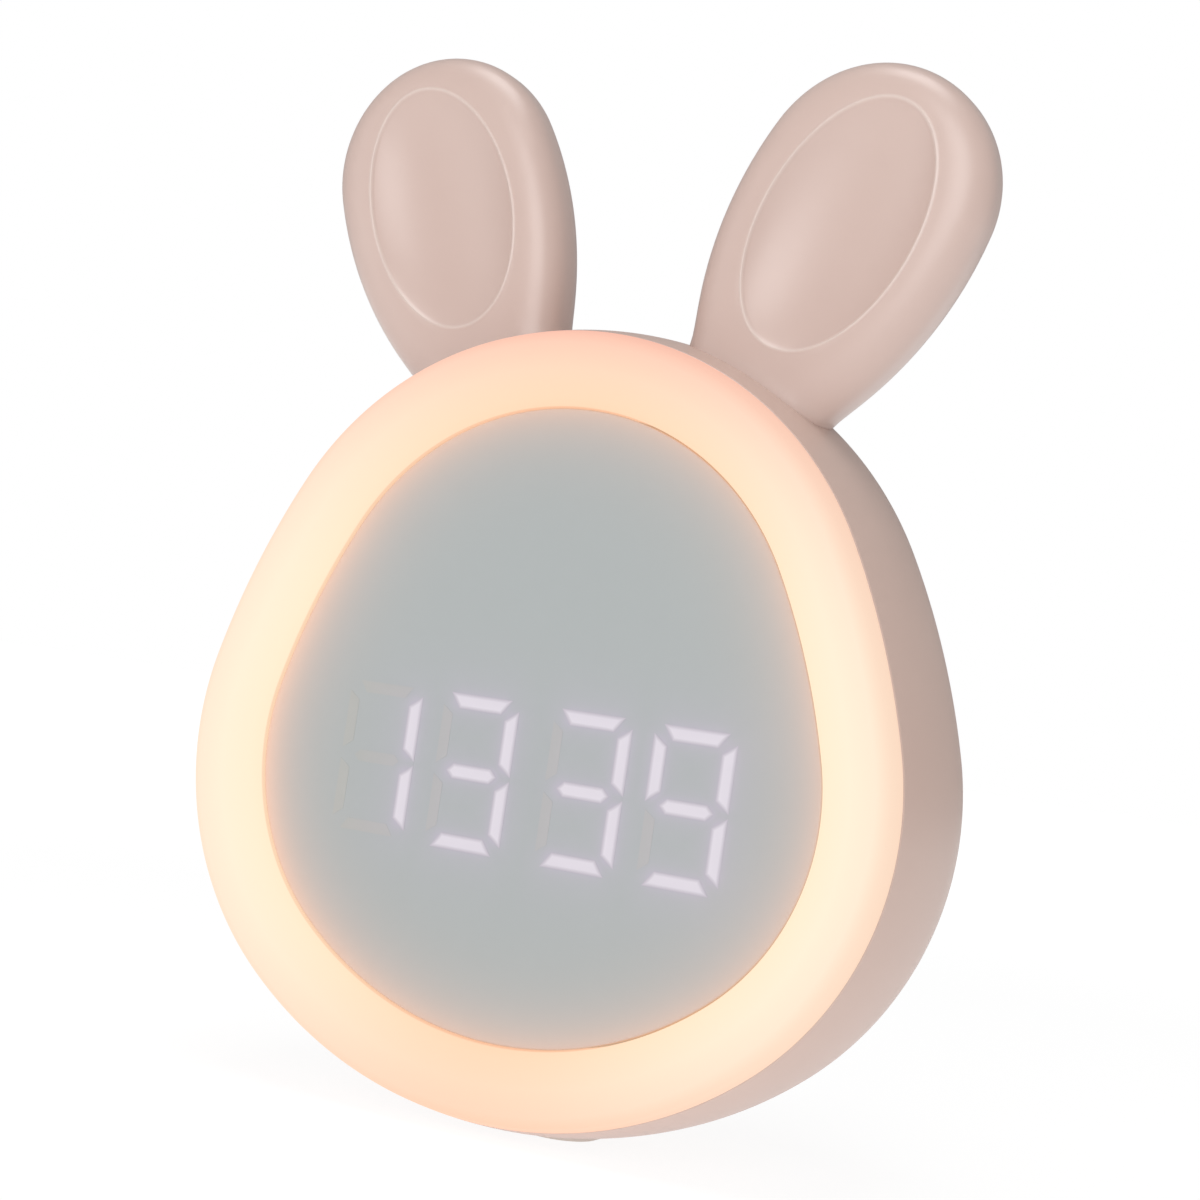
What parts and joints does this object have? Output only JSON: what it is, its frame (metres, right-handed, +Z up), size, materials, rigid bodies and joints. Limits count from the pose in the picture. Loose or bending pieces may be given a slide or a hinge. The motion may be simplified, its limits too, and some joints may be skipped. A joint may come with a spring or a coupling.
{
  "type": "kids alarm clock with night light",
  "caption": "Egg-shaped bedside clock with two puffed ears, a glowing ring round a flat display, and keys, speaker grille and charging socket on its back.",
  "frame": {"origin": "on the table, midway across the width and the depth", "axes": "+X to the right seen from the front, +Y to the back, +Z up"},
  "size_m": [0.1196, 0.0502, 0.1631],
  "materials": {
    "soft_shell": "soft satin",
    "opal": "opal, glows warm white",
    "tinted_panel": "tinted, smooth",
    "silicone": "matt",
    "white_frame": "matt",
    "board": "solder mask",
    "lamp_yellow": "clear resin",
    "lit_bar": "diffusing, glows white",
    "dark_bar": "diffusing, unlit",
    "steel": "bright zinc",
    "switch_black": "fine texture",
    "plunger_grey": "smooth",
    "key_rubber": "soft matt",
    "speaker_black": "matt",
    "cell_sleeve": "shrink sleeve"
  },
  "bodies": {
    "case": {"right_ear": "soft_shell", "left_ear": "soft_shell", "ear_screws": "steel", "foot_pad": "silicone", "body_shell": "soft_shell", "light_ring": "opal", "face_panel": "tinted_panel", "inner_frame": "white_frame", "ring_light_board": "board", "ring_leds": "lamp_yellow", "lit_segments": "lit_bar", "dark_segments": "dark_bar", "colon_dots": "dark_bar", "display_leds": "lamp_yellow", "segment_housing": "white_frame", "display_board": "board", "display_screws": "steel", "frame_screws": "steel", "cover_screws": "steel", "rear_cover": "soft_shell", "main_board": "board", "board_screws": "steel", "key_switches": "switch_black", "slide_switch": "steel", "charge_socket": "steel", "speaker": "speaker_black", "battery_cell": "cell_sleeve", "battery_cradle": "white_frame"},
    "alarm_button": {"alarm_key": "key_rubber", "alarm_plunger": "plunger_grey"},
    "minus_button": {"minus_key": "key_rubber", "minus_plunger": "plunger_grey"},
    "plus_button": {"plus_key": "key_rubber", "plus_plunger": "plunger_grey"},
    "light_button": {"light_key": "key_rubber", "light_plunger": "plunger_grey"},
    "slider": {"power_slider": "switch_black"}
  },
  "joints": [
    {"name": "alarm_press", "type": "slide", "parent": "case", "child": "alarm_button", "axis": [0, -1, 0], "range_m": [0, 0.0006], "stiffness_N_per_m": 1500, "springref_m": -0.0004},
    {"name": "minus_press", "type": "slide", "parent": "case", "child": "minus_button", "axis": [0, -1, 0], "range_m": [0, 0.0006], "stiffness_N_per_m": 1500, "springref_m": -0.0004},
    {"name": "plus_press", "type": "slide", "parent": "case", "child": "plus_button", "axis": [0, -1, 0], "range_m": [0, 0.0006], "stiffness_N_per_m": 1500, "springref_m": -0.0004},
    {"name": "light_press", "type": "slide", "parent": "case", "child": "light_button", "axis": [0, -1, 0], "range_m": [0, 0.0006], "stiffness_N_per_m": 1500, "springref_m": -0.0004},
    {"name": "power_slide", "type": "slide", "parent": "case", "child": "slider", "axis": [1, 0, 0], "range_m": [0, 0.0025]}
  ]
}
